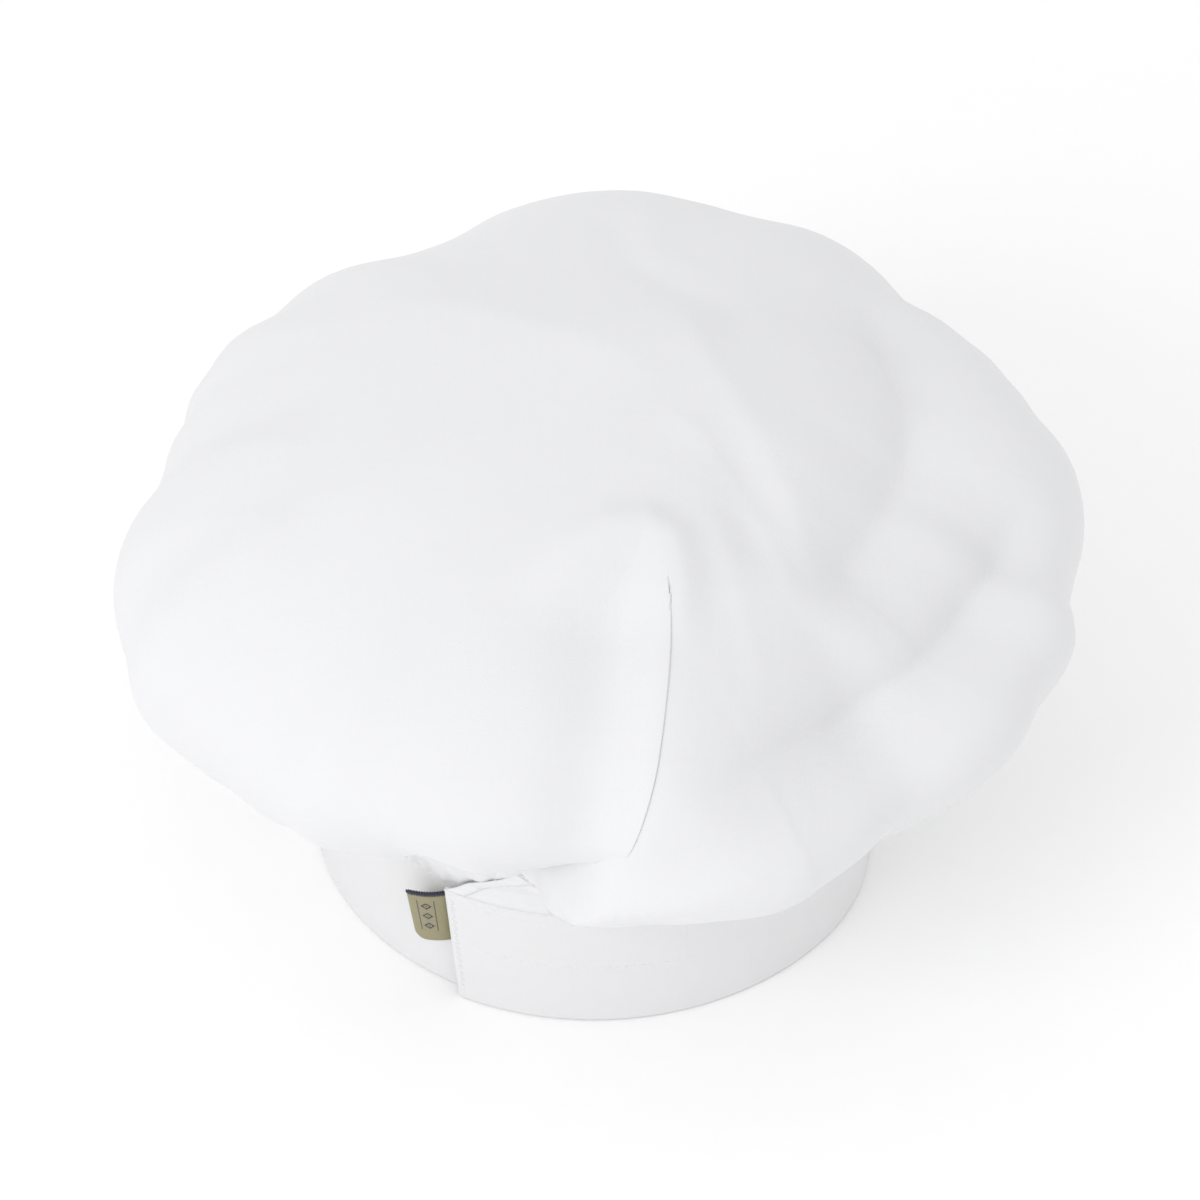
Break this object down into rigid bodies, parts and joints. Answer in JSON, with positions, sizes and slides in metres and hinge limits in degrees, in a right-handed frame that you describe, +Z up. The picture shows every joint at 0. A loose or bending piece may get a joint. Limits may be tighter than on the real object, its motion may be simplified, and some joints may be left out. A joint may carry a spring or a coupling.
{
  "type": "chef toque",
  "caption": "Low puffed cloth chef's toque gathered into a stiffened band that closes at the back with hook and loop tape.",
  "frame": {"origin": "on the surface the hat stands on, under the middle of the band's round opening", "axes": "+Z up through the crown, the wearer faces -Y, the closure and its label are at the back on +Y"},
  "size_m": [0.316, 0.316, 0.1915],
  "materials": {
    "crown_cloth": "soft white poly-cotton poplin, slightly crumpled, matt",
    "band_cloth": "white poly-cotton poplin over a firm interlining, matt",
    "stiffener": "white non-woven interlining, matt",
    "hook_tape": "white woven nylon tape with stiff hooks",
    "loop_tape": "white woven nylon tape with a brushed loop pile",
    "thread": "white spun polyester sewing thread",
    "label": "olive woven taffeta label",
    "label_edging": "dark blue overlocked edge of the label"
  },
  "bodies": {
    "hat": {"band_cloth": "band_cloth", "band_stiffener": "stiffener", "loop_tape": "loop_tape", "loop_tape_stitching": "thread", "band_top_stitching": "thread", "tail_end_stitching": "thread", "crown": "crown_cloth"},
    "flap": {"flap_cloth": "band_cloth", "flap_stiffener": "stiffener", "hook_tape": "hook_tape", "hook_tape_stitching": "thread", "flap_top_stitching": "thread", "flap_end_stitching": "thread", "crown_slit_lap": "crown_cloth", "slit_hem": "crown_cloth", "slit_hem_stitching": "thread"},
    "label": {"woven_label": "label", "label_edging": "label_edging"}
  },
  "joints": [
    {"name": "flap_peel", "type": "hinge", "parent": "hat", "child": "flap", "pos_m": [-0.07816, 0.06349, 0], "axis": [0, 0, 1], "range_deg": [0, 45]},
    {"name": "label_flip", "type": "hinge", "parent": "flap", "child": "label", "pos_m": [0.04827, 0.08644, 0], "axis": [0, 0, 1], "range_deg": [-30, 42]}
  ]
}
